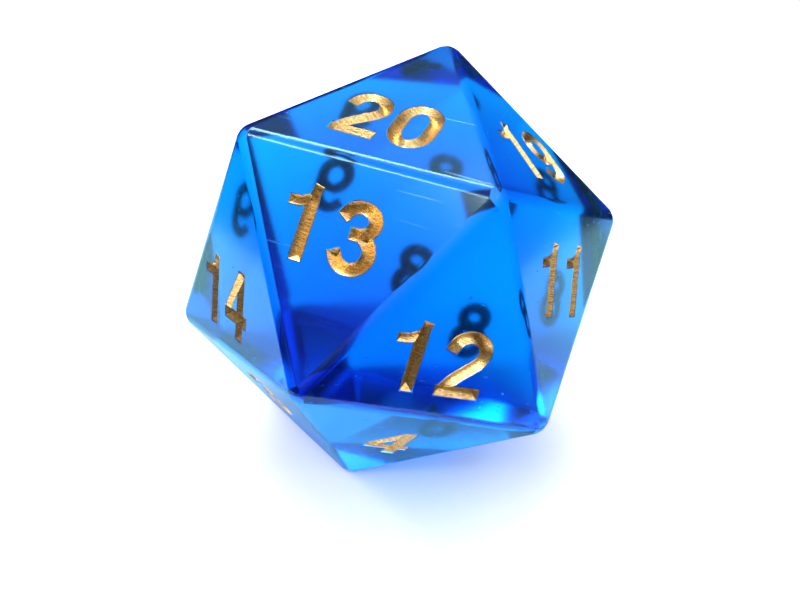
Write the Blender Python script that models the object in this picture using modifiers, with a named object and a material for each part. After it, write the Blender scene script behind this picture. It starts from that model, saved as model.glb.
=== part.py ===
"""Jumbo 20-sided countdown die: a rounded icosahedron with engraved, paint-filled numerals.

Frame: metres, +Z up. The die rests on its 1 face with the 20 face level on top.
The origin is the middle of the rest face, and the 13 face leans out towards -Y.
"""
from math import atan2, ceil, cos, degrees, hypot, radians, sin, sqrt, tan

import bmesh
import bpy
from mathutils import Matrix, Vector

# ---------------------------------------------------------------- driving dimensions
MM = 0.001
GOLDEN = (1 + sqrt(5)) / 2

FACE_TO_FACE = 55 * MM          # between two opposite faces
EDGE_ROUND = 2.5 * MM           # radius of the rounded edges and corners
ROUND_SEGMENTS = 3              # steps across one rounded edge

DIGIT_PITCH = 7.45 * MM         # from one digit of a number to the next
STEM_WIDTH = 2.05 * MM          # width of an upright stroke at the face
BAR_WIDTH = 1.85 * MM           # width of a level stroke at the face
GROOVE_SLOPE = 1.0              # groove depth for each unit of half width
CUTTER_RISE = 0.2 * MM          # how far the engraving tool stands above the face
PAINT_GAP = 0.3 * MM            # clearance between the paint body and the groove wall
PAINT_RECESS = 0.1 * MM         # how far the paint stays below the face
ARC_STEP = 15                   # degrees between two sections of a curved stroke
LEAST_STEP = 0.2                # mm, shortest step between two sections of a stroke

# ---------------------------------------------------------------- worked-out dimensions
INRADIUS = FACE_TO_FACE / 2
EDGE = INRADIUS * 12 / (sqrt(3) * (3 + sqrt(5)))
CIRCUMRADIUS = EDGE * sqrt(GOLDEN * sqrt(5)) / 2
EDGE_TURN = radians(180) - 2 * atan2(GOLDEN ** 2, 1)      # between neighbouring face normals
ROUND_SETBACK = EDGE_ROUND * tan(EDGE_TURN / 2)           # from the sharp edge to the flat
PAINT_INSET = PAINT_GAP * hypot(1, GROOVE_SLOPE) / GROOVE_SLOPE

# Numbers on the faces, counted round the axis from the top corner to the opposite one,
# so that opposite faces add up to 21 and each number has its neighbours next to it.
TOP_CAP = (20, 19, 18, 17, 16)
BELT = (13, 12, 11, 6, 7, 8, 9, 10, 15, 14)
BOTTOM_CAP = (4, 3, 1, 2, 5)
BOTTOM_CAP_STEPS = (1, 9, 5, 7, 3)
BELT_TURN = 36                  # degrees from one face of the belt to the next
CAP_HEIGHT = 0.6                # a cap face's normal reaches further along the axis than this
SAME_WAY = 0.99                 # cosine above which two directions count as one

# Where each number sits on its face, in mm: right, up and tilt in degrees.
APEX_UP_PLACE = (-0.4, -1.3, 0.0)
APEX_DOWN_PLACE = (-0.4, 0.6, 0.0)
NUMBER_PLACES = {
    20: (-0.45, -1.3, -1.5),
    19: (0.7, -0.95, 0.0),
    14: (-2.6, -2.85, -2.5),
    13: (-1.9, 0.65, -1.5),
    12: (-0.75, -2.2, 0.5),
    11: (0.8, 0.1, 0.0),
    9: (-0.4, 1.0, 0.0),
    8: (-0.4, 0.0, 0.0),
    4: (0.2, -2.3, 0.0),
}

# ---------------------------------------------------------------- centre-lines of the strokes
# Digits are drawn 10 mm tall about (0, 0), in millimetres. A stroke is a list of
# (x, y) points with a width in mm at each point, or None for the usual width.


def arc(centre, radii, start, end):
    """Points along an upright ellipse, from one angle to another in degrees."""
    steps = max(1, ceil(abs(end - start) / ARC_STEP))
    angles = [radians(start + (end - start) * i / steps) for i in range(steps + 1)]
    return [(centre[0] + radii[0] * cos(a), centre[1] + radii[1] * sin(a)) for a in angles]


def bend(start, pull_start, pull_end, end, steps):
    """Points along a cubic curve."""
    points = []
    for i in range(steps + 1):
        t = i / steps
        weights = ((1 - t) ** 3, 3 * t * (1 - t) ** 2, 3 * t ** 2 * (1 - t), t ** 3)
        corners = (start, pull_start, pull_end, end)
        points.append(tuple(sum(w * c[k] for w, c in zip(weights, corners)) for k in (0, 1)))
    return points


def half_turn(strokes):
    """The same strokes turned upside down."""
    return [([(-x, -y) for x, y in points], widths, closed) for points, widths, closed in strokes]


ZERO = [(arc((0, 1.2), (2.3, 2.8), 0, 180) + arc((0, -1.2), (2.3, 2.8), 180, 360), None, True)]
ONE = [
    ([(0.42, -5), (0.42, 2.7), (0.56, 3.9), (0.78, 5)], (1.96, 1.96, 1.7, 1.25), False),
    ([(-2.93, 2.57)] + bend((-2.1, 2.58), (-1.1, 2.6), (-0.4, 2.85), (0.5, 3.6), 3),
     (1.45, 1.45, 1.47, 1.5, 1.6), False),
]
TWO = [
    (arc((-0.05, 1.9), (2.3, 2.1), 192, 0)
     + bend((2.25, 1.9), (2.25, -0.4), (-1.9, -1.7), (-2.1, -4.4), 6)[1:], None, False),
    ([(-3.3, -4.08), (3.3, -4.08)], None, False),
]
THREE = [
    (arc((-0.1, 2.25), (2.1, 1.75), 190, -90) + [(-1.15, 0.45)], None, False),
    (arc((0, -1.75), (2.3, 2.25), 75, -178), None, False),
]
FOUR = [
    ([(1.15, -5), (1.15, 5)], None, False),
    ([(-3.45, -1.85), (3.3, -1.85)], None, False),
    ([(-2.73, -1.39), (1.07, 4.54)], (1.7, 1.7), False),
]
FIVE = [
    ([(-2.6, 4.08), (2.95, 4.08)], None, False),
    ([(-1.85, 4.9), (-2.35, -0.6)], (1.75, 1.75), False),
    (arc((-0.05, -1.65), (2.3, 2.35), 150, -165), None, False),
]
SIX = [
    (arc((0.1, 1.2), (2.3, 2.8), 28, 180) + arc((0.05, -1.7), (2.25, 2.3), 180, 450), None, False),
    (arc((0.05, -1.7), (2.25, 2.3), 60, 150), (1.6,) * 7, False),
]
SEVEN = [
    ([(-3.25, 4.08), (3.25, 4.08)], None, False),
    (bend((2.1, 4.1), (0.4, 2.0), (-0.9, -1.5), (-1.2, -5.0), 6), None, False),
]
EIGHT = [
    (arc((0, 2.3), (2.0, 1.7), 0, 360), None, True),
    (arc((0, -1.75), (2.3, 2.25), 0, 360), None, True),
]
DIGITS = {"0": ZERO, "1": ONE, "2": TWO, "3": THREE, "4": FOUR, "5": FIVE, "6": SIX,
          "7": SEVEN, "8": EIGHT, "9": half_turn(SIX)}

# ---------------------------------------------------------------- scene, collections, materials


def empty_scene():
    for thing in list(bpy.data.objects):
        bpy.data.objects.remove(thing, do_unlink=True)


def new_collection(name):
    group = bpy.data.collections.new(name)
    bpy.context.scene.collection.children.link(group)
    return group


def new_material(name, colour, roughness, metallic, transmission=0.0):
    material = bpy.data.materials.new(name)
    material.use_nodes = True
    shader = material.node_tree.nodes["Principled BSDF"]
    shader.inputs["Base Color"].default_value = (*colour, 1)
    shader.inputs["Roughness"].default_value = roughness
    shader.inputs["Metallic"].default_value = metallic
    shader.inputs["Transmission Weight"].default_value = transmission
    return material


def add_object(name, mesh, material, collection):
    thing = bpy.data.objects.new(name, mesh)
    mesh.materials.append(material)
    collection.objects.link(thing)
    return thing


def add_boolean(thing, operation, operand):
    """Cut or join with the EXACT solver, by one object or by a whole collection."""
    modifier = thing.modifiers.new(operation.title(), "BOOLEAN")
    modifier.operation = operation
    modifier.solver = "EXACT"
    if isinstance(operand, bpy.types.Collection):
        modifier.operand_type = "COLLECTION"
        modifier.collection = operand
    else:
        modifier.object = operand


def hide_as_cutter(thing):
    thing.hide_render = True
    thing.display_type = "WIRE"


# ---------------------------------------------------------------- the rounded icosahedron


def icosahedron_mesh():
    """A regular icosahedron standing on one face, with a top corner towards +Y."""
    mesh = bpy.data.meshes.new("die_body")
    solid = bmesh.new()
    bmesh.ops.create_icosphere(solid, subdivisions=1, radius=CIRCUMRADIUS)
    solid.normal_update()
    top = max(solid.faces, key=lambda face: face.normal.z)
    level = top.normal.rotation_difference(Vector((0, 0, 1))).to_matrix()
    corner = level @ top.verts[0].co
    spin = Matrix.Rotation(radians(90) - atan2(corner.y, corner.x), 3, "Z")
    bmesh.ops.rotate(solid, matrix=spin @ level, verts=solid.verts)
    bmesh.ops.translate(solid, vec=(0, 0, INRADIUS), verts=solid.verts)
    solid.to_mesh(mesh)
    solid.free()
    return mesh


def build_body(material, collection):
    body = add_object("die_body", icosahedron_mesh(), material, collection)
    rounding = body.modifiers.new("Rounded edges", "BEVEL")
    rounding.limit_method = "NONE"
    rounding.offset_type = "OFFSET"
    rounding.width = ROUND_SETBACK
    rounding.segments = ROUND_SEGMENTS
    return body


# ---------------------------------------------------------------- numbering of the faces


def number_faces(mesh):
    """A matrix for each number: X right, Y up, Z out of the face, at the face's middle."""
    centre = Vector((0, 0, INRADIUS))
    top_face = max(mesh.polygons, key=lambda face: face.normal.z)
    corner = max((mesh.vertices[i].co for i in top_face.vertices), key=lambda co: co.y)
    axis = (corner - centre).normalized()
    ahead = (top_face.normal - axis * top_face.normal.dot(axis)).normalized()
    aside = axis.cross(ahead)
    frames = {}
    for face in mesh.polygons:
        normal = face.normal.copy()
        height = normal.dot(axis)
        turn = degrees(atan2(normal.dot(aside), normal.dot(ahead)))
        step = round(turn / BELT_TURN) % len(BELT)
        if height > CAP_HEIGHT:
            number = TOP_CAP[step // 2]
        elif height < -CAP_HEIGHT:
            number = BOTTOM_CAP[BOTTOM_CAP_STEPS.index(step)]
        else:
            number = BELT[step]
        up = (axis - normal * height).normalized()
        frame = Matrix((up.cross(normal), up, normal)).transposed().to_4x4()
        frame.translation = face.center
        apex_up = any((mesh.vertices[i].co - face.center).normalized().dot(up) > SAME_WAY
                      for i in face.vertices)
        frames[number] = (frame, apex_up)
    return frames


def number_frame(number, frames):
    """The face's matrix, moved to where this number sits on the face."""
    frame, apex_up = frames[number]
    usual = APEX_UP_PLACE if apex_up else APEX_DOWN_PLACE
    right, up, tilt = NUMBER_PLACES.get(number, usual)
    return frame @ Matrix.Translation((right * MM, up * MM, 0)) @ Matrix.Rotation(radians(tilt), 4, "Z")


# ---------------------------------------------------------------- V-shaped strokes


def drawn_path(stroke):
    """The centre-line as (x, y, width) in metres, with the usual width where none is given."""
    points, widths, closed = stroke
    if closed:
        points = [p for p, q in zip(points, points[1:] + points[:1])
                  if hypot(p[0] - q[0], p[1] - q[1]) > LEAST_STEP]
    path = []
    for i, (x, y) in enumerate(points):
        before = points[i - 1] if closed or i > 0 else points[i]
        after = points[(i + 1) % len(points)] if closed or i < len(points) - 1 else points[i]
        run, rise = after[0] - before[0], after[1] - before[1]
        usual = BAR_WIDTH + (STEM_WIDTH - BAR_WIDTH) * abs(rise) / hypot(run, rise)
        path.append(Vector((x * MM, y * MM, widths[i] * MM if widths else usual)))
    return path


def point_along(path, lengths, reach):
    """The point of a path at a distance from its start."""
    for (near, far), (begin, end) in zip(zip(path, path[1:]), zip(lengths, lengths[1:])):
        if reach <= end:
            return near.lerp(far, (reach - begin) / (end - begin))
    return path[-1]


def with_sloping_ends(path):
    """A point where each sloping end reaches the groove's bottom, and none before it."""
    lengths = [0]
    for near, far in zip(path, path[1:]):
        lengths.append(lengths[-1] + (far.xy - near.xy).length)
    first = path[0].z / 2
    last = lengths[-1] - path[-1].z / 2
    between = [p for p, reach in zip(path, lengths)
               if first + LEAST_STEP * MM < reach < last - LEAST_STEP * MM]
    return [path[0], point_along(path, lengths, first), *between,
            point_along(path, lengths, last), path[-1]]


def stroke_sections(path, closed, spread, top):
    """Left rim, right rim and groove bottom at each point of a stroke."""
    sections = []
    for i, point in enumerate(path):
        before = path[i - 1] if closed or i > 0 else point
        after = path[(i + 1) % len(path)] if closed or i < len(path) - 1 else point
        along = (after.xy - before.xy).normalized().to_3d()
        across = Vector((-along.y, along.x, 0))
        half = point.z / 2 + spread
        rim = half + top / GROOVE_SLOPE
        rim_middle = Vector((point.x, point.y, top))
        if not closed and i == 0:
            rim_middle -= along * (rim - point.z / 2)
        if not closed and i == len(path) - 1:
            rim_middle += along * (rim - point.z / 2)
        bottom = Vector((point.x, point.y, -half * GROOVE_SLOPE))
        sections.append((rim_middle + across * rim, rim_middle - across * rim, bottom))
    return sections


def stroke_mesh(name, stroke, frame, spread, top):
    """A groove's solid: a V section swept along the centre-line, with sloping flat ends."""
    closed = stroke[2]
    path = drawn_path(stroke)
    if not closed:
        path = with_sloping_ends(path)
    solid = bmesh.new()
    rows = [[solid.verts.new(frame @ corner) for corner in section]
            for section in stroke_sections(path, closed, spread, top)]
    pairs = list(zip(rows, rows[1:]))
    if closed:
        pairs.append((rows[-1], rows[0]))
    else:
        for end_row, next_row in ((rows[0], rows[1]), (rows[-1], rows[-2])):
            solid.verts.remove(end_row[2])
            end_row[2] = next_row[2]
            solid.faces.new(end_row)
    for (left, right, bottom), (next_left, next_right, next_bottom) in pairs:
        for ring in ((left, right, next_right, next_left),
                     (right, bottom, next_bottom, next_right),
                     (bottom, left, next_left, next_bottom)):
            solid.faces.new(dict.fromkeys(ring))
    bmesh.ops.triangulate(solid, faces=solid.faces)
    bmesh.ops.recalc_face_normals(solid, faces=solid.faces)
    mesh = bpy.data.meshes.new(name)
    solid.to_mesh(mesh)
    solid.free()
    return mesh


def digits_of(number):
    """Each digit of a number with its node's name and its place along the line."""
    text = str(number)
    if len(text) == 1:
        return [(text, f"inlay_{text}", 0)]
    return [(text[0], f"inlay_{text}_tens", -DIGIT_PITCH / 2),
            (text[1], f"inlay_{text}_units", DIGIT_PITCH / 2)]


def engrave_and_fill(number, frames, paint, parts, grooves, joins):
    """Cut a number's grooves, and fill each digit with its own body of paint."""
    place = number_frame(number, frames)
    for digit, name, along in digits_of(number):
        frame = place @ Matrix.Translation((along, 0, 0))
        inlay = None
        for index, stroke in enumerate(DIGITS[digit]):
            groove = stroke_mesh(f"{name}_groove_{index}", stroke, frame, 0, CUTTER_RISE)
            hide_as_cutter(add_object(groove.name, groove, paint, grooves))
            fill = stroke_mesh(f"{name}_{index}", stroke, frame, -PAINT_INSET, -PAINT_RECESS)
            if index == 0:
                inlay = add_object(name, fill, paint, parts)
            else:
                join = add_object(fill.name, fill, paint, joins)
                hide_as_cutter(join)
                add_boolean(inlay, "UNION", join)


def build_die():
    empty_scene()
    parts = new_collection("countdown_die")
    grooves = new_collection("groove_cutters")
    joins = new_collection("stroke_joins")
    plastic = new_material("blue_acrylic", (0.0, 0.16, 0.85), 0.04, 0.0, 0.9)
    paint = new_material("gold_paint", (0.72, 0.46, 0.16), 0.35, 0.9)
    body = build_body(plastic, parts)
    frames = number_faces(body.data)
    for number in sorted(frames):
        engrave_and_fill(number, frames, paint, parts, grooves, joins)
    add_boolean(body, "DIFFERENCE", grooves)


build_die()
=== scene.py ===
"""A 55 mm countdown die of polished blue acrylic, with engraved digits filled in gold paint."""
from math import atan2, ceil, cos, degrees, hypot, pi, radians, sin, sqrt, tan

import bmesh
import bpy
from mathutils import Matrix, Vector


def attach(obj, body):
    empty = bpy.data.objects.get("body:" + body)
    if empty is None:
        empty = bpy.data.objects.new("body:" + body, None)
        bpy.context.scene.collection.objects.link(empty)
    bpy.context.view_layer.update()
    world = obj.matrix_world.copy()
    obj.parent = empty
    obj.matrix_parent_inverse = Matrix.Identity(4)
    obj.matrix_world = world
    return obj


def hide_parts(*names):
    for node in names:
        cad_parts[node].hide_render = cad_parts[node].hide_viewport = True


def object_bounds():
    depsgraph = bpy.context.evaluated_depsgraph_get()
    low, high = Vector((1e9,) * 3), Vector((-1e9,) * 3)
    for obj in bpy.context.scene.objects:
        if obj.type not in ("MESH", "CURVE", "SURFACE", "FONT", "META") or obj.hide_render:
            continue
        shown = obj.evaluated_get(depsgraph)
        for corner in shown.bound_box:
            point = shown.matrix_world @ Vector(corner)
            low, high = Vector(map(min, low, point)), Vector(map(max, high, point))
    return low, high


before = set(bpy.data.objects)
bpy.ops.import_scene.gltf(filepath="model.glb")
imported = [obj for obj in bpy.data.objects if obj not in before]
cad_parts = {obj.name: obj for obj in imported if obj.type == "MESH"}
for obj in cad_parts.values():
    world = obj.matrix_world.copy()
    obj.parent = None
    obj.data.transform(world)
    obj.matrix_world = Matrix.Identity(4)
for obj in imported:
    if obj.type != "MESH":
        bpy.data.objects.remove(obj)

cad_low, cad_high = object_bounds()

# ------------------------------------------------------------------------------------
# Camera: a small camera held close to the die, a little to its right and looking down
# at 45 degrees. The lens is a normal one, so the near corner looks large.
MM = 0.001
scene = bpy.context.scene
die_height = cad_high.z - cad_low.z
die_centre = Vector((0, 0, die_height / 2))
camera_turn = radians(22.5)
camera_rise = radians(45.2)
camera_distance = 140 * MM
camera_side_step = 0.4 * MM
camera_drop = 5.2 * MM

bpy.ops.object.camera_add(rotation=(pi / 2 - camera_rise, 0, camera_turn))
camera = bpy.context.active_object
camera.name = "close_up_camera"
camera_axes = camera.rotation_euler.to_matrix()
camera.location = die_centre + camera_axes @ Vector((camera_side_step, -camera_drop, camera_distance))
camera.data.lens = 40.7
camera.data.sensor_width = 36
camera.data.clip_start = 5 * MM
camera.data.clip_end = 20
scene.camera = camera

# ------------------------------------------------------------------------------------
# Studio: a white paper floor, a bright sky of soft light behind and above the die, and
# a dim room on the camera's side. The strip lights give the pairs of lines on the edges.
scene.view_settings.view_transform = "Standard"

bpy.ops.mesh.primitive_circle_add(vertices=128, radius=0.12, fill_type="NGON")
floor = bpy.context.active_object
floor.name = "paper_floor"
paper = bpy.data.materials.new("white_paper")
paper.use_nodes = True
paper_shader = paper.node_tree.nodes["Principled BSDF"]
paper_shader.inputs["Roughness"].default_value = 0.9
paper_shader.inputs["Specular IOR Level"].default_value = 0.1
paper_grain = paper.node_tree.nodes.new("ShaderNodeTexNoise")
paper_grain.inputs["Scale"].default_value = 900
paper_tone = paper.node_tree.nodes.new("ShaderNodeMapRange")
paper_tone.inputs["To Min"].default_value = 0.86
paper_tone.inputs["To Max"].default_value = 0.9
paper.node_tree.links.new(paper_grain.outputs["Fac"], paper_tone.inputs["Value"])
paper.node_tree.links.new(paper_tone.outputs["Result"], paper_shader.inputs["Base Color"])
floor.data.materials.append(paper)

world = bpy.data.worlds.new("studio_room")
scene.world = world
world.use_nodes = True
room = world.node_tree
room_light = room.nodes["Background"]
outwards = room.nodes.new("ShaderNodeTexCoord")
heights = room.nodes.new("ShaderNodeSeparateXYZ")
room.links.new(outwards.outputs["Generated"], heights.inputs["Vector"])
height_scale = room.nodes.new("ShaderNodeMapRange")
height_scale.inputs["From Min"].default_value = -1
room.links.new(heights.outputs["Z"], height_scale.inputs["Value"])
sky = room.nodes.new("ShaderNodeValToRGB")
sky_bands = {0.50: 0.02, 0.62: 0.05, 0.72: 0.14, 0.82: 0.42, 0.90: 1.0}
sky_gain = 2.35
while len(sky.color_ramp.elements) < len(sky_bands):
    sky.color_ramp.elements.new(0.5)
for element, (height, light) in zip(sky.color_ramp.elements, sky_bands.items()):
    element.position = height
    element.color = (light, light, light, 1)
room.links.new(height_scale.outputs["Result"], sky.inputs["Fac"])
room_tone = sky.outputs["Color"]


def compass(azimuth, elevation):
    """A unit vector: azimuth from +X towards +Y and elevation from the floor, in degrees."""
    turn, rise = radians(azimuth), radians(elevation)
    return Vector((cos(turn) * cos(rise), sin(turn) * cos(rise), sin(rise)))


# Each patch of the room: azimuth, elevation, inner and outer reach, and how bright it is.
room_patches = (
    (-122, 46, 12, 26, 0.15),
    (185, 66, 10, 24, 0.25),
)
for azimuth, elevation, inner, outer, gain in room_patches:
    facing = room.nodes.new("ShaderNodeVectorMath")
    facing.operation = "DOT_PRODUCT"
    facing.inputs[1].default_value = compass(azimuth, elevation)
    room.links.new(outwards.outputs["Generated"], facing.inputs[0])
    patch = room.nodes.new("ShaderNodeMapRange")
    patch.interpolation_type = "SMOOTHSTEP"
    patch.inputs["From Min"].default_value = cos(radians(outer))
    patch.inputs["From Max"].default_value = cos(radians(inner))
    patch.inputs["To Min"].default_value = 1
    patch.inputs["To Max"].default_value = gain
    room.links.new(facing.outputs["Value"], patch.inputs["Value"])
    shade = room.nodes.new("ShaderNodeVectorMath")
    shade.operation = "SCALE"
    room.links.new(room_tone, shade.inputs[0])
    room.links.new(patch.outputs["Result"], shade.inputs["Scale"])
    room_tone = shade.outputs["Vector"]
room.links.new(room_tone, room_light.inputs["Color"])
room_light.inputs["Strength"].default_value = sky_gain
backdrop = room.nodes.new("ShaderNodeBackground")
backdrop.inputs["Color"].default_value = (1, 1, 1, 1)
backdrop.inputs["Strength"].default_value = 1.1
who_looks = room.nodes.new("ShaderNodeLightPath")
either = room.nodes.new("ShaderNodeMixShader")
room.links.new(who_looks.outputs["Is Camera Ray"], either.inputs["Fac"])
room.links.new(room_light.outputs["Background"], either.inputs[1])
room.links.new(backdrop.outputs["Background"], either.inputs[2])
room.links.new(either.outputs["Shader"], room.nodes["World Output"].inputs["Surface"])


def softbox(name, azimuth, elevation, distance, size, radiance):
    """A rectangular lamp that faces the die and can't be seen by the camera."""
    bpy.ops.object.light_add(type="AREA", location=die_centre + compass(azimuth, elevation) * distance)
    lamp = bpy.context.active_object
    lamp.name = name
    lamp.data.shape = "RECTANGLE"
    lamp.data.size, lamp.data.size_y = size
    lamp.data.energy = radiance * pi * size[0] * size[1]
    lamp.rotation_euler = (die_centre - lamp.location).to_track_quat("-Z", "Y").to_euler()
    lamp.visible_camera = False
    return lamp


softbox("key_softbox", 127, 52, 0.6, (0.60, 0.13), 18)
softbox("front_strip", -132, 62, 0.6, (0.45, 0.07), 20)

# ------------------------------------------------------------------------------------
# Body blank: one solid casting of clear blue acrylic, a regular icosahedron 55 mm across
# its flats, tumbled and polished until every edge and corner is round.
golden = (1 + sqrt(5)) / 2
edge = die_height * 6 / (sqrt(3) * (3 + sqrt(5)))
corner_radius = edge * sqrt(golden * sqrt(5)) / 2
edge_round = 2.5 * MM
edge_turn = pi - 2 * atan2(golden ** 2, 1)


def deselect_all():
    if bpy.context.mode != "OBJECT":
        bpy.ops.object.mode_set(mode="OBJECT")
    bpy.ops.object.select_all(action="DESELECT")


def make_active(piece):
    deselect_all()
    piece.select_set(True)
    bpy.context.view_layer.objects.active = piece


def settle(piece, matrix):
    """Turn and move a piece, and leave its place in its mesh."""
    piece.matrix_world = matrix
    make_active(piece)
    bpy.ops.object.transform_apply(location=True, rotation=True, scale=True)


deselect_all()
bpy.ops.mesh.primitive_ico_sphere_add(subdivisions=1, radius=corner_radius)
body = bpy.context.active_object
body.name = "acrylic_body"
top_flat = max(body.data.polygons, key=lambda flat: flat.normal.z)
level = top_flat.normal.rotation_difference(Vector((0, 0, 1))).to_matrix()
first_corner = level @ body.data.vertices[top_flat.vertices[0]].co
spin = Matrix.Rotation(pi / 2 - atan2(first_corner.y, first_corner.x), 3, "Z")
settle(body, Matrix.Translation(die_centre) @ (spin @ level).to_4x4())

# ------------------------------------------------------------------------------------
# Numbers: consecutive numbers lie side by side round the axis from the top corner to the
# opposite one, and opposite faces add up to 21. Each was set by hand, a little off centre.
top_cap = (20, 19, 18, 17, 16)
belt = (13, 12, 11, 6, 7, 8, 9, 10, 15, 14)
bottom_cap = {1: 4, 9: 3, 5: 1, 7: 2, 3: 5}
belt_turn = 36          # degrees from one flat of the belt to the next
cap_height = 0.6        # a cap flat's normal reaches further along the axis than this
same_way = 0.99         # cosine above which two directions count as one
digit_pitch = 7.45
apex_up_place = (-0.4, -1.3, 0.0)
apex_down_place = (-0.4, 0.6, 0.0)
number_places = {
    20: (-0.45, -1.3, -1.5),
    19: (0.7, -0.95, 0.0),
    14: (-2.6, -2.85, -2.5),
    13: (-1.9, 0.65, -1.5),
    12: (-0.75, -2.2, 0.5),
    11: (0.8, 0.1, 0.0),
    9: (-0.4, 1.0, 0.0),
    8: (-0.4, 0.0, 0.0),
    4: (0.2, -2.3, 0.0),
}


def number_frames(blank):
    """For each number, a matrix with X along its line, Y up and Z out of its face."""
    corners = blank.data.vertices
    flats = blank.data.polygons
    top = max(flats, key=lambda flat: flat.normal.z)
    apex = max((corners[i].co for i in top.vertices), key=lambda place: place.y)
    axis = (apex - die_centre).normalized()
    ahead = (top.normal - axis * top.normal.dot(axis)).normalized()
    aside = axis.cross(ahead)
    frames = {}
    for flat in flats:
        normal = flat.normal.copy()
        height = normal.dot(axis)
        step = round(degrees(atan2(normal.dot(aside), normal.dot(ahead))) / belt_turn) % len(belt)
        if height > cap_height:
            number = top_cap[step // 2]
        elif height < -cap_height:
            number = bottom_cap[step]
        else:
            number = belt[step]
        up = (axis - normal * height).normalized()
        matrix = Matrix((up.cross(normal), up, normal)).transposed().to_4x4()
        matrix.translation = flat.center
        apex_up = any((corners[i].co - flat.center).normalized().dot(up) > same_way
                      for i in flat.vertices)
        usual = apex_up_place if apex_up else apex_down_place
        right, rise, tilt = number_places.get(number, usual)
        shift = Matrix.Translation((right * MM, rise * MM, 0))
        frames[number] = matrix @ shift @ Matrix.Rotation(radians(tilt), 4, "Z")
    return frames


frames = number_frames(body)

# The flats are numbered before the edges are rounded, because rounding adds small faces.
make_active(body)
bpy.ops.object.modifier_add(type="BEVEL")
rounding = body.modifiers[-1]
rounding.limit_method = "NONE"
rounding.offset_type = "OFFSET"
rounding.width = edge_round * tan(edge_turn / 2)
rounding.segments = 10
bpy.ops.object.modifier_apply(modifier=rounding.name)

# ------------------------------------------------------------------------------------
# Digit tools: each digit is cut with a V-shaped tool that leaves a sloping flat at both
# ends of a stroke. Strokes are drawn in mm, 10 mm tall, as (x, y) points with widths.
# A soft end has rounded corners, a plain one has square ones, and a ring has no end.
stem_width = 2.05
bar_width = 1.85
groove_slope = 1.0
tool_rise = 0.25
arc_step = 7.5
least_step = 0.12
corner_cut = 0.62
weld_gap = 1e-6
end_margin = 1e-5


def arc(centre, radii, start, end):
    steps = max(1, ceil(abs(end - start) / arc_step))
    angles = [radians(start + (end - start) * i / steps) for i in range(steps + 1)]
    return [(centre[0] + radii[0] * cos(a), centre[1] + radii[1] * sin(a)) for a in angles]


def bend(start, pull_start, pull_end, end, steps):
    points = []
    for i in range(steps + 1):
        t = i / steps
        weights = ((1 - t) ** 3, 3 * t * (1 - t) ** 2, 3 * t ** 2 * (1 - t), t ** 3)
        pulls = (start, pull_start, pull_end, end)
        points.append(tuple(sum(w * p[k] for w, p in zip(weights, pulls)) for k in (0, 1)))
    return points


def swelling(first, last, count):
    """Widths that grow evenly along a stroke."""
    return [first + (last - first) * i / (count - 1) for i in range(count)]


# The strokes of the 6 and 9 end inside each other, so their corners stay square.
six_strokes = [
    (arc((0.1, 1.2), (2.3, 2.8), 28, 180) + arc((0.05, -1.7), (2.25, 2.3), 180, 450), None, "plain"),
    (arc((0.05, -1.7), (2.25, 2.3), 60, 150), (1.6,) * 13, "plain"),
]
digit_strokes = {
    "0": [(arc((0, 1.2), (2.3, 2.8), 0, 180) + arc((0, -1.2), (2.3, 2.8), 180, 360), None, "ring")],
    "1": [
        ([(0.42, -5), (0.42, 2.7)] + bend((0.42, 3.1), (0.46, 3.7), (0.6, 4.3), (0.78, 5), 4),
         [1.96, 1.96] + swelling(1.96, 1.25, 5), "soft"),
        ([(-2.93, 2.57)] + bend((-2.1, 2.58), (-1.1, 2.6), (-0.4, 2.85), (0.5, 3.6), 7),
         [1.45] + swelling(1.45, 1.6, 8), "soft"),
    ],
    "2": [
        (arc((-0.05, 1.9), (2.3, 2.1), 192, 0)
         + bend((2.25, 1.9), (2.25, -0.4), (-1.9, -1.7), (-2.1, -4.4), 14)[1:], None, "soft"),
        ([(-3.3, -4.08), (3.3, -4.08)], None, "soft"),
    ],
    "3": [
        (arc((-0.1, 2.25), (2.1, 1.75), 190, -90) + [(-1.15, 0.45)], None, "soft"),
        (arc((0, -1.75), (2.3, 2.25), 75, -178), None, "soft"),
    ],
    "4": [
        ([(1.15, -5), (1.15, 5)], None, "soft"),
        ([(-3.45, -1.85), (3.3, -1.85)], None, "soft"),
        ([(-2.73, -1.39), (1.07, 4.54)], (1.7, 1.7), "soft"),
    ],
    "5": [
        ([(-2.6, 4.08), (2.95, 4.08)], None, "soft"),
        ([(-1.85, 4.9), (-2.35, -0.6)], (1.75, 1.75), "soft"),
        (arc((-0.05, -1.65), (2.3, 2.35), 150, -165), None, "soft"),
    ],
    "6": six_strokes,
    "7": [
        ([(-3.25, 4.08), (3.25, 4.08)], None, "soft"),
        (bend((2.1, 4.1), (0.4, 2.0), (-0.9, -1.5), (-1.2, -5.0), 14), None, "soft"),
    ],
    "8": [
        (arc((0, 2.3), (2.0, 1.7), 0, 360), None, "ring"),
        (arc((0, -1.75), (2.3, 2.25), 0, 360), None, "ring"),
    ],
    "9": [([(-x, -y) for x, y in points], widths, ends) for points, widths, ends in six_strokes],
}


def drawn_path(points, widths, closed):
    """A stroke's (x, y, half width) in metres: upright strokes are a little wider."""
    if closed:
        points = [p for p, q in zip(points, points[1:] + points[:1])
                  if hypot(p[0] - q[0], p[1] - q[1]) > least_step]
    path = []
    for i, (x, y) in enumerate(points):
        before = points[i - 1] if closed or i > 0 else points[i]
        after = points[(i + 1) % len(points)] if closed or i < len(points) - 1 else points[i]
        run, rise = after[0] - before[0], after[1] - before[1]
        usual = bar_width + (stem_width - bar_width) * abs(rise) / hypot(run, rise)
        path.append(Vector((x, y, (widths[i] if widths else usual) / 2)) * MM)
    return path


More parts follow.
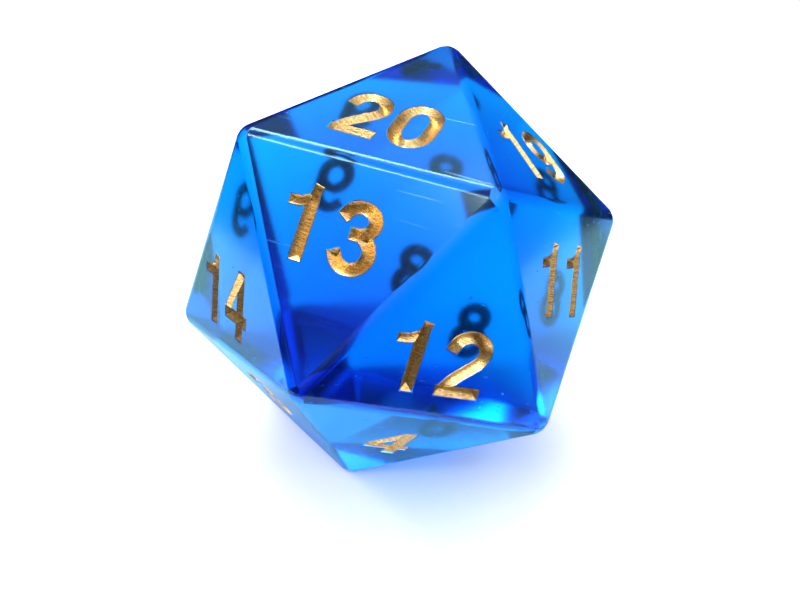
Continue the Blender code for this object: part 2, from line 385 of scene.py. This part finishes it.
def between_slopes(path):
    """The stretch of a path where the groove has its full depth, and its two ends."""
    lengths = [0]
    for near, far in zip(path, path[1:]):
        lengths.append(lengths[-1] + (far.xy - near.xy).length)
    marks = (path[0].z, lengths[-1] - path[-1].z)
    found = []
    for mark in marks:
        for near, far, begin, end in zip(path, path[1:], lengths, lengths[1:]):
            if begin <= mark <= end:
                found.append(near.lerp(far, (mark - begin) / (end - begin)))
                break
    inner = [p for p, reach in zip(path, lengths)
             if marks[0] + least_step * MM < reach < marks[1] - least_step * MM]
    return [found[0], *inner, found[1]]


def headings(full, closed):
    """The direction of travel at each section of a stroke, in radians from X."""
    if closed:
        pairs = list(zip(full[-1:] + full[:-1], full[1:] + full[:1]))
    else:
        pairs = [(full[0], full[1]), *zip(full[:-2], full[2:]), (full[-2], full[-1])]
    return [atan2(after.y - before.y, after.x - before.x) for before, after in pairs]


def on_surface(point):
    return Vector((point.x, point.y, 0))


def select_verts(piece, wanted):
    """In edit mode, select only the corners for which wanted(corner) is true."""
    cage = bmesh.from_edit_mesh(piece.data)
    chosen = [corner for corner in cage.verts if wanted(corner)]
    bpy.ops.mesh.select_all(action="DESELECT")
    for corner in chosen:
        corner.select = True
    cage.select_flush(True)
    bmesh.update_edit_mesh(piece.data)


def slope_off(piece, section, facing, soften):
    """Push the groove's end face out by half its width and leave its bottom behind."""
    centre = on_surface(section)
    along = Vector((cos(facing), sin(facing), 0))
    reach = along * (section.z + tool_rise * MM / groove_slope)
    select_verts(piece, lambda c: abs((c.co - centre).dot(along)) < weld_gap
                 and (c.co - centre).length < 3 * section.z)
    bpy.ops.mesh.extrude_region_move(TRANSFORM_OT_translate={"value": reach})
    select_verts(piece, lambda c: c.select and c.co.z < 0)
    bpy.ops.transform.translate(value=-reach)
    bpy.ops.mesh.select_all(action="SELECT")
    bpy.ops.mesh.remove_doubles(threshold=weld_gap)
    if soften:
        select_verts(piece, lambda c: (c.co - centre).dot(along) > reach.length - end_margin
                     and c.co.z > 0 and (c.co - centre).length < 3 * section.z)
        bpy.ops.mesh.bevel(offset=corner_cut * MM, segments=3, affect="VERTICES")


def turn_selection(angle, centre):
    """Turn what is selected, anticlockwise from above."""
    bpy.ops.transform.rotate(value=-angle, orient_axis="Z", center_override=centre)


def push_groove(name, points, widths, ends):
    """One stroke: a V-shaped section pushed along its centre-line."""
    closed = ends == "ring"
    path = drawn_path(points, widths, closed)
    full = path if closed else between_slopes(path)
    half = full[0].z
    depth = half * groove_slope
    rise = tool_rise * MM
    deselect_all()
    bpy.ops.mesh.primitive_circle_add(vertices=3, radius=1, fill_type="NGON",
                                      rotation=(-pi / 2, 0, pi / 2))
    stroke = bpy.context.active_object
    stroke.name = name
    bpy.ops.object.transform_apply(rotation=True)
    bpy.ops.object.mode_set(mode="EDIT")
    bpy.ops.mesh.select_all(action="SELECT")
    v_size = (1, (half + rise / groove_slope) / sin(pi / 3), (depth + rise) / 1.5)
    bpy.ops.transform.resize(value=v_size, center_override=(0, 0, 0))
    bpy.ops.transform.translate(value=(0, 0, v_size[2] - depth))
    facing = headings(full, closed)
    turn_selection(facing[0], Vector((0, 0, 0)))
    bpy.ops.transform.translate(value=on_surface(full[0]))
    for i in range(1, len(full) + closed):
        here = full[i % len(full)]
        place = on_surface(here)
        step = place - on_surface(full[i - 1])
        bpy.ops.mesh.extrude_region_move(TRANSFORM_OT_translate={"value": step})
        turn_selection((facing[i % len(full)] - facing[i - 1] + pi) % (2 * pi) - pi, place)
        grow = here.z / full[i - 1].z
        bpy.ops.transform.resize(value=(grow, grow, grow), center_override=place)
    if closed:
        bpy.ops.mesh.select_all(action="DESELECT")
        cage = bmesh.from_edit_mesh(stroke.data)
        for face in cage.faces:
            face.select = len(face.verts) == 3
        bmesh.update_edit_mesh(stroke.data)
        bpy.ops.mesh.delete(type="ONLY_FACE")
        bpy.ops.mesh.select_all(action="SELECT")
        bpy.ops.mesh.remove_doubles(threshold=weld_gap)
    else:
        slope_off(stroke, full[-1], facing[-1], ends == "soft")
        slope_off(stroke, full[0], facing[0] + pi, ends == "soft")
    bpy.ops.mesh.select_all(action="SELECT")
    bpy.ops.mesh.normals_make_consistent(inside=False)
    bpy.ops.object.mode_set(mode="OBJECT")
    return stroke


def carve(piece, operation, tool):
    """Join a tool to a piece or cut it out of the piece, and use the tool up."""
    make_active(piece)
    bpy.ops.object.modifier_add(type="BOOLEAN")
    modifier = piece.modifiers[-1]
    modifier.operation = operation
    modifier.solver = "EXACT"
    modifier.object = tool
    bpy.ops.object.modifier_apply(modifier=modifier.name)
    bpy.data.objects.remove(tool, do_unlink=True)


digit_tools = {}
for digit, strokes in digit_strokes.items():
    parts = [push_groove(f"tool_{digit}_{i}", *stroke) for i, stroke in enumerate(strokes)]
    for extra in parts[1:]:
        carve(parts[0], "UNION", extra)
    digit_tools[digit] = parts[0]

# ------------------------------------------------------------------------------------
# Gold paint: a thin film of metallic paint brushed into each groove and wiped off level
# with the face, so it stops just under the rim. It wets the plastic, so no air lies between.
paint_clearance = 0.06
film_thickness = 0.09
film_bite = 0.025
film_crease = 28
flat_enough = 2


def copy_of(piece, name):
    twin = piece.copy()
    twin.data = piece.data.copy()
    twin.name = name
    bpy.context.collection.objects.link(twin)
    return twin


def paint_film(digit, tool):
    """Keep the walls of the groove as a thin shell, a little below the rim."""
    film = copy_of(tool, f"film_{digit}")
    make_active(film)
    bpy.ops.object.mode_set(mode="EDIT")
    bpy.ops.mesh.select_all(action="SELECT")
    bpy.ops.mesh.bisect(plane_co=(0, 0, -paint_clearance * MM), plane_no=(0, 0, 1), clear_outer=True)
    bpy.ops.mesh.select_all(action="SELECT")
    bpy.ops.mesh.tris_convert_to_quads(face_threshold=radians(flat_enough), shape_threshold=pi)
    bpy.ops.object.mode_set(mode="OBJECT")
    bpy.ops.object.modifier_add(type="SOLIDIFY")
    coat = film.modifiers[-1]
    coat.thickness = film_thickness * MM
    coat.offset = 2 * film_bite / film_thickness - 1
    coat.use_even_offset = True
    bpy.ops.object.modifier_apply(modifier=coat.name)
    bpy.ops.object.shade_smooth_by_angle(angle=radians(film_crease))
    drawn = film.data.attributes.new("in_groove", "FLOAT_VECTOR", "POINT")
    for corner in film.data.vertices:
        drawn.data[corner.index].vector = corner.co / MM
    return film


films = {digit: paint_film(digit, tool) for digit, tool in digit_tools.items()}

# Dust settles on the polish and in the engraving alike, so both materials use this group.
spotless_share = 0.7
dust = bpy.data.node_groups.new("settled_dust", "ShaderNodeTree")
dust.interface.new_socket("Place", in_out="INPUT", socket_type="NodeSocketVector")
dust.interface.new_socket("Grains Per Metre", in_out="INPUT", socket_type="NodeSocketFloat")
dust.interface.new_socket("Grain Size", in_out="INPUT", socket_type="NodeSocketFloat")
dust.interface.new_socket("Grains", in_out="OUTPUT", socket_type="NodeSocketFloat")
dust_in = dust.nodes.new("NodeGroupInput")
dust_out = dust.nodes.new("NodeGroupOutput")
spots = dust.nodes.new("ShaderNodeTexVoronoi")
dust.links.new(dust_in.outputs["Place"], spots.inputs["Vector"])
dust.links.new(dust_in.outputs["Grains Per Metre"], spots.inputs["Scale"])
grains = dust.nodes.new("ShaderNodeMapRange")
grains.inputs["From Min"].default_value = 0
grains.inputs["To Min"].default_value = 1
grains.inputs["To Max"].default_value = 0
dust.links.new(spots.outputs["Distance"], grains.inputs["Value"])
dust.links.new(dust_in.outputs["Grain Size"], grains.inputs["From Max"])
spot_chance = dust.nodes.new("ShaderNodeSeparateColor")
dust.links.new(spots.outputs["Color"], spot_chance.inputs["Color"])
kept_spots = dust.nodes.new("ShaderNodeMath")
kept_spots.operation = "GREATER_THAN"
kept_spots.inputs[1].default_value = spotless_share
dust.links.new(spot_chance.outputs["Red"], kept_spots.inputs[0])
scattered = dust.nodes.new("ShaderNodeMath")
scattered.operation = "MULTIPLY"
dust.links.new(grains.outputs["Result"], scattered.inputs[0])
dust.links.new(kept_spots.outputs["Value"], scattered.inputs[1])
dust.links.new(scattered.outputs["Value"], dust_out.inputs["Grains"])


def add_dust(material, grains_per_metre, grain_size):
    """Lay dust on a material, and give the socket that says where its grains are."""
    nodes = material.node_tree.nodes
    where = nodes.new("ShaderNodeTexCoord")
    settled = nodes.new("ShaderNodeGroup")
    settled.node_tree = dust
    settled.inputs["Grains Per Metre"].default_value = grains_per_metre
    settled.inputs["Grain Size"].default_value = grain_size
    material.node_tree.links.new(where.outputs["Object"], settled.inputs["Place"])
    return settled.outputs["Grains"]


gold = bpy.data.materials.new("gold_paint")
gold.use_nodes = True
gold_nodes = gold.node_tree.nodes
gold_links = gold.node_tree.links
gold_shader = gold_nodes["Principled BSDF"]
gold_shader.inputs["Metallic"].default_value = 0.9
grooves = gold_nodes.new("ShaderNodeAttribute")
grooves.attribute_name = "in_groove"
flakes = gold_nodes.new("ShaderNodeTexNoise")
flakes.inputs["Scale"].default_value = 5.0
flakes.inputs["Detail"].default_value = 6
flakes.inputs["Roughness"].default_value = 0.7
gold_links.new(grooves.outputs["Vector"], flakes.inputs["Vector"])
brushed = gold_nodes.new("ShaderNodeMapping")
brushed.inputs["Rotation"].default_value = (0, 0, radians(12))
brushed.inputs["Scale"].default_value = (1.2, 7.5, 1.2)
gold_links.new(grooves.outputs["Vector"], brushed.inputs["Vector"])
bristles = gold_nodes.new("ShaderNodeTexNoise")
bristles.inputs["Scale"].default_value = 1.0
bristles.inputs["Detail"].default_value = 3
gold_links.new(brushed.outputs["Vector"], bristles.inputs["Vector"])
paint_grain = gold_nodes.new("ShaderNodeMix")
paint_grain.inputs["Factor"].default_value = 0.45
gold_links.new(flakes.outputs["Fac"], paint_grain.inputs["A"])
gold_links.new(bristles.outputs["Fac"], paint_grain.inputs["B"])
gold_tint = gold_nodes.new("ShaderNodeValToRGB")
gold_tint.color_ramp.elements[0].position = 0.38
gold_tint.color_ramp.elements[0].color = (0.24, 0.12, 0.032, 1)
gold_tint.color_ramp.elements[1].position = 0.60
gold_tint.color_ramp.elements[1].color = (0.88, 0.61, 0.25, 1)
gold_links.new(paint_grain.outputs["Result"], gold_tint.inputs["Fac"])
dusty_gold = gold_nodes.new("ShaderNodeMix")
dusty_gold.data_type = "RGBA"
dusty_gold.inputs["B"].default_value = (0.55, 0.47, 0.36, 1)
gold_links.new(add_dust(gold, 2600, 0.3), dusty_gold.inputs["Factor"])
gold_links.new(gold_tint.outputs["Color"], dusty_gold.inputs["A"])
gold_links.new(dusty_gold.outputs["Result"], gold_shader.inputs["Base Color"])
gold_gloss = gold_nodes.new("ShaderNodeMapRange")
gold_gloss.inputs["From Min"].default_value = 0.35
gold_gloss.inputs["From Max"].default_value = 0.65
gold_gloss.inputs["To Min"].default_value = 0.34
gold_gloss.inputs["To Max"].default_value = 0.2
gold_links.new(paint_grain.outputs["Result"], gold_gloss.inputs["Value"])
gold_links.new(gold_gloss.outputs["Result"], gold_shader.inputs["Roughness"])
gold_bump = gold_nodes.new("ShaderNodeBump")
gold_bump.inputs["Strength"].default_value = 0.5
gold_bump.inputs["Distance"].default_value = 0.07 * MM
gold_links.new(paint_grain.outputs["Result"], gold_bump.inputs["Height"])
gold_links.new(gold_bump.outputs["Normal"], gold_shader.inputs["Normal"])

# ------------------------------------------------------------------------------------
# Engraving: every number is cut into its face with its digit tools, and its films are laid
# in the cuts. Two digits stand side by side, one pitch apart.
body_crease = 20
cutters = []
for number, place in frames.items():
    digits = str(number)
    for i, digit in enumerate(digits):
        offset = (i - (len(digits) - 1) / 2) * digit_pitch * MM
        spot = place @ Matrix.Translation((offset, 0, 0))
        suffix = ("_tens", "_units")[i] if len(digits) > 1 else ""
        film = copy_of(films[digit], f"paint_{number}{suffix}")
        settle(film, spot)
        film.data.materials.append(gold)
        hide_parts(f"inlay_{number}{suffix}")
        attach(film, "root")
        cutter = copy_of(digit_tools[digit], f"cutter_{number}{suffix}")
        settle(cutter, spot)
        cutters.append(cutter)

deselect_all()
for cutter in cutters:
    cutter.select_set(True)
bpy.context.view_layer.objects.active = cutters[0]
bpy.ops.object.join()
carve(body, "DIFFERENCE", cutters[0])
for master in (*films.values(), *digit_tools.values()):
    bpy.data.objects.remove(master, do_unlink=True)

make_active(body)
bpy.ops.object.shade_smooth_by_angle(angle=radians(body_crease))
bpy.ops.object.modifier_add(type="WEIGHTED_NORMAL")
flatten = body.modifiers[-1]
flatten.keep_sharp = True
flatten.weight = 100
bpy.ops.object.modifier_apply(modifier=flatten.name)

# ------------------------------------------------------------------------------------
# Blue acrylic: clear plastic with a blue dye through it, so that it darkens with depth. Its
# polish has faint waves, hairline scratches and some dust. The tinted coat gives no gloss of
# its own: it takes the red out of what the surface mirrors.
acrylic = bpy.data.materials.new("blue_acrylic")
acrylic.use_nodes = True
acrylic_nodes = acrylic.node_tree.nodes
acrylic_links = acrylic.node_tree.links
acrylic_shader = acrylic_nodes["Principled BSDF"]
acrylic_shader.inputs["Transmission Weight"].default_value = 1
acrylic_shader.inputs["Coat Weight"].default_value = 0.62
acrylic_shader.inputs["Coat IOR"].default_value = 1.0
acrylic_shader.inputs["Coat Tint"].default_value = (0.3, 0.95, 1.0, 1)
acrylic_shader.inputs["IOR"].default_value = 1.49
acrylic_place = acrylic_nodes.new("ShaderNodeTexCoord")
waves = acrylic_nodes.new("ShaderNodeTexNoise")
waves.inputs["Scale"].default_value = 45
waves.inputs["Detail"].default_value = 1
acrylic_links.new(acrylic_place.outputs["Object"], waves.inputs["Vector"])
streaks = []
for lean in ((0.3, 0.2, 0.9), (1.1, 0.4, -0.5)):
    hairlines = acrylic_nodes.new("ShaderNodeMapping")
    hairlines.inputs["Rotation"].default_value = lean
    hairlines.inputs["Scale"].default_value = (60, 2200, 2200)
    acrylic_links.new(acrylic_place.outputs["Object"], hairlines.inputs["Vector"])
    rubbed = acrylic_nodes.new("ShaderNodeTexNoise")
    rubbed.inputs["Scale"].default_value = 1
    rubbed.inputs["Detail"].default_value = 0
    acrylic_links.new(hairlines.outputs["Vector"], rubbed.inputs["Vector"])
    thin = acrylic_nodes.new("ShaderNodeMapRange")
    thin.inputs["From Min"].default_value = 0.79
    thin.inputs["From Max"].default_value = 0.88
    acrylic_links.new(rubbed.outputs["Fac"], thin.inputs["Value"])
    streaks.append(thin.outputs["Result"])
scratches = acrylic_nodes.new("ShaderNodeMath")
scratches.operation = "MAXIMUM"
acrylic_links.new(streaks[0], scratches.inputs[0])
acrylic_links.new(streaks[1], scratches.inputs[1])
marks = acrylic_nodes.new("ShaderNodeMath")
marks.operation = "MAXIMUM"
acrylic_links.new(scratches.outputs["Value"], marks.inputs[0])
acrylic_links.new(add_dust(acrylic, 300, 0.02), marks.inputs[1])
haze = acrylic_nodes.new("ShaderNodeMapRange")
haze.inputs["To Min"].default_value = 0.14
haze.inputs["To Max"].default_value = 0.32
acrylic_links.new(marks.outputs["Value"], haze.inputs["Value"])
acrylic_links.new(haze.outputs["Result"], acrylic_shader.inputs["Roughness"])
polish_waves = acrylic_nodes.new("ShaderNodeBump")
polish_waves.inputs["Distance"].default_value = 0.08 * MM
acrylic_links.new(waves.outputs["Fac"], polish_waves.inputs["Height"])
raised_marks = acrylic_nodes.new("ShaderNodeBump")
raised_marks.inputs["Distance"].default_value = 0.01 * MM
acrylic_links.new(marks.outputs["Value"], raised_marks.inputs["Height"])
acrylic_links.new(polish_waves.outputs["Normal"], raised_marks.inputs["Normal"])
acrylic_links.new(raised_marks.outputs["Normal"], acrylic_shader.inputs["Normal"])
uneven_dye = acrylic_nodes.new("ShaderNodeValToRGB")
uneven_dye.color_ramp.elements[0].position = 0.35
uneven_dye.color_ramp.elements[0].color = (0.07, 0.84, 0.98, 1)
uneven_dye.color_ramp.elements[1].position = 0.65
uneven_dye.color_ramp.elements[1].color = (0.09, 0.90, 1.0, 1)
acrylic_links.new(waves.outputs["Fac"], uneven_dye.inputs["Fac"])
acrylic_links.new(uneven_dye.outputs["Color"], acrylic_shader.inputs["Base Color"])
dye = acrylic_nodes.new("ShaderNodeVolumeAbsorption")
dye.inputs["Color"].default_value = (0, 0.862, 0.975, 1)
dye.inputs["Density"].default_value = 220
acrylic_links.new(dye.outputs["Volume"], acrylic_nodes["Material Output"].inputs["Volume"])
body.data.materials.append(acrylic)
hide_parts("die_body")
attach(body, "root")
